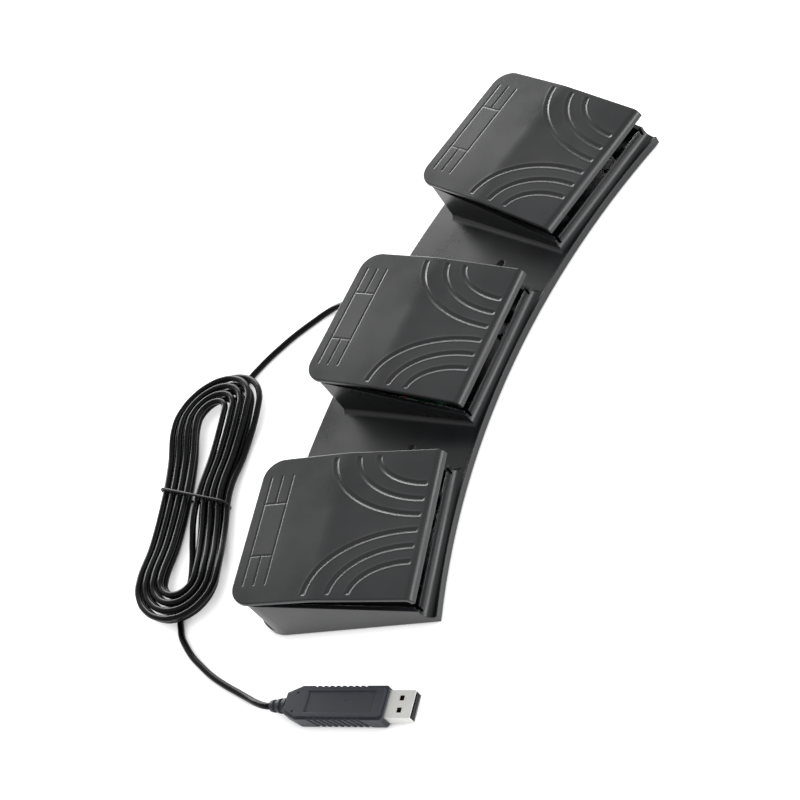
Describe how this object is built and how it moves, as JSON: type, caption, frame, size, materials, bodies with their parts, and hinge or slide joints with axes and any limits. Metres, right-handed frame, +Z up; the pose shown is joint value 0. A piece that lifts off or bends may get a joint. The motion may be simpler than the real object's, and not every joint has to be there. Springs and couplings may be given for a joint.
{
  "type": "usb foot pedal switch",
  "caption": "Fan-shaped desk-floor foot switch: side-by-side hinged pedals with curved grooves over open-top housings, with a bundled cord ending in a flat rectangular plug.",
  "frame": {"origin": "centre of the base's plan box at floor level, the cord and plug left out", "axes": "+X along the row of pedals to the user's right, +Y towards the toes and the cord exit, +Z up"},
  "size_m": [0.3322, 0.2085, 0.03],
  "materials": {
    "base_plastic": "fine-grained moulded dark grey",
    "pedal_plastic": "fine-grained satin dark grey",
    "plug_plastic": "satin, slightly bluish dark grey",
    "cord_jacket": "satin flexible vinyl",
    "black_plastic": "plain moulded",
    "red_plastic": "plain moulded",
    "black_rubber": "matt",
    "zinc_steel": "zinc plated",
    "bright_steel": "bright nickel plated",
    "spring_steel": "drawn wire",
    "contact_brass": "gold flashed",
    "green_board": "solder mask over fibreglass board",
    "red_wire": "insulated strands"
  },
  "bodies": {
    "base": {"base_shell": "base_plastic", "bottom_plate": "zinc_steel", "bottom_screws": "zinc_steel", "rubber_feet": "black_rubber", "stop_pads": "black_rubber", "left_hinge_pin": "zinc_steel", "middle_hinge_pin": "zinc_steel", "right_hinge_pin": "zinc_steel", "left_spring": "spring_steel", "middle_spring": "spring_steel", "right_spring": "spring_steel", "left_switch_case": "black_plastic", "middle_switch_case": "black_plastic", "right_switch_case": "black_plastic", "left_switch_board": "green_board", "middle_switch_board": "green_board", "right_switch_board": "green_board", "switch_terminals": "contact_brass", "board_screws": "zinc_steel", "controller_board": "green_board", "controller_chips": "black_plastic", "left_wires": "red_wire", "middle_wires": "red_wire", "right_wires": "red_wire", "cord_grommet": "black_rubber", "cord_clamp": "base_plastic", "clamp_screws": "zinc_steel", "inner_cord": "cord_jacket", "cord_lead": "cord_jacket", "cord_hank": "cord_jacket", "cord_tail": "cord_jacket", "cord_tie": "black_plastic", "plug_boot": "plug_plastic", "plug_body": "plug_plastic", "plug_shell": "bright_steel", "plug_insulator": "black_plastic", "plug_contacts": "contact_brass", "plug_board": "green_board"},
    "left_pedal": {"left_pedal": "pedal_plastic"},
    "middle_pedal": {"middle_pedal": "pedal_plastic"},
    "right_pedal": {"right_pedal": "pedal_plastic"},
    "left_lever": {"left_switch_lever": "bright_steel"},
    "middle_lever": {"middle_switch_lever": "bright_steel"},
    "right_lever": {"right_switch_lever": "bright_steel"},
    "left_plunger": {"left_switch_plunger": "red_plastic"},
    "middle_plunger": {"middle_switch_plunger": "red_plastic"},
    "right_plunger": {"right_switch_plunger": "red_plastic"}
  },
  "joints": [
    {"name": "left_pedal_hinge", "type": "hinge", "parent": "base", "child": "left_pedal", "pos_m": [-0.11181, 0.02258, 0.0195], "axis": [0.9659, 0.2588, 0], "range_deg": [0, 3.5], "stiffness_Nm_per_rad": 1.3, "springref_deg": -5.27, "deforming": ["left_spring"]},
    {"name": "left_lever_pivot", "type": "hinge", "parent": "base", "child": "left_lever", "pos_m": [-0.10663, 0.00326, 0.018], "axis": [0.9659, 0.2588, 0], "range_deg": [0, 8.4]},
    {"name": "left_plunger_slide", "type": "slide", "parent": "base", "child": "left_plunger", "axis": [0, 0, -1], "range_m": [0, 0.00045]},
    {"name": "middle_pedal_hinge", "type": "hinge", "parent": "base", "child": "middle_pedal", "pos_m": [0, 0.0373, 0.0195], "axis": [1, 0, 0], "range_deg": [0, 3.5], "stiffness_Nm_per_rad": 1.3, "springref_deg": -5.27, "deforming": ["middle_spring"]},
    {"name": "middle_lever_pivot", "type": "hinge", "parent": "base", "child": "middle_lever", "pos_m": [0, 0.0173, 0.018], "axis": [1, 0, 0], "range_deg": [0, 8.4]},
    {"name": "middle_plunger_slide", "type": "slide", "parent": "base", "child": "middle_plunger", "axis": [0, 0, -1], "range_m": [0, 0.00045]},
    {"name": "right_pedal_hinge", "type": "hinge", "parent": "base", "child": "right_pedal", "pos_m": [0.11181, 0.02258, 0.0195], "axis": [0.9659, -0.2588, 0], "range_deg": [0, 3.5], "stiffness_Nm_per_rad": 1.3, "springref_deg": -5.27, "deforming": ["right_spring"]},
    {"name": "right_lever_pivot", "type": "hinge", "parent": "base", "child": "right_lever", "pos_m": [0.10663, 0.00326, 0.018], "axis": [0.9659, -0.2588, 0], "range_deg": [0, 8.4]},
    {"name": "right_plunger_slide", "type": "slide", "parent": "base", "child": "right_plunger", "axis": [0, 0, -1], "range_m": [0, 0.00045]}
  ],
  "couplings": [
    {"joint": "left_lever_pivot", "follows": "left_pedal_hinge", "ratio": 2.25},
    {"joint": "left_plunger_slide", "follows": "left_pedal_hinge", "m_per_rad": 0.0052},
    {"joint": "middle_lever_pivot", "follows": "middle_pedal_hinge", "ratio": 2.25},
    {"joint": "middle_plunger_slide", "follows": "middle_pedal_hinge", "m_per_rad": 0.0052},
    {"joint": "right_lever_pivot", "follows": "right_pedal_hinge", "ratio": 2.25},
    {"joint": "right_plunger_slide", "follows": "right_pedal_hinge", "m_per_rad": 0.0052}
  ]
}
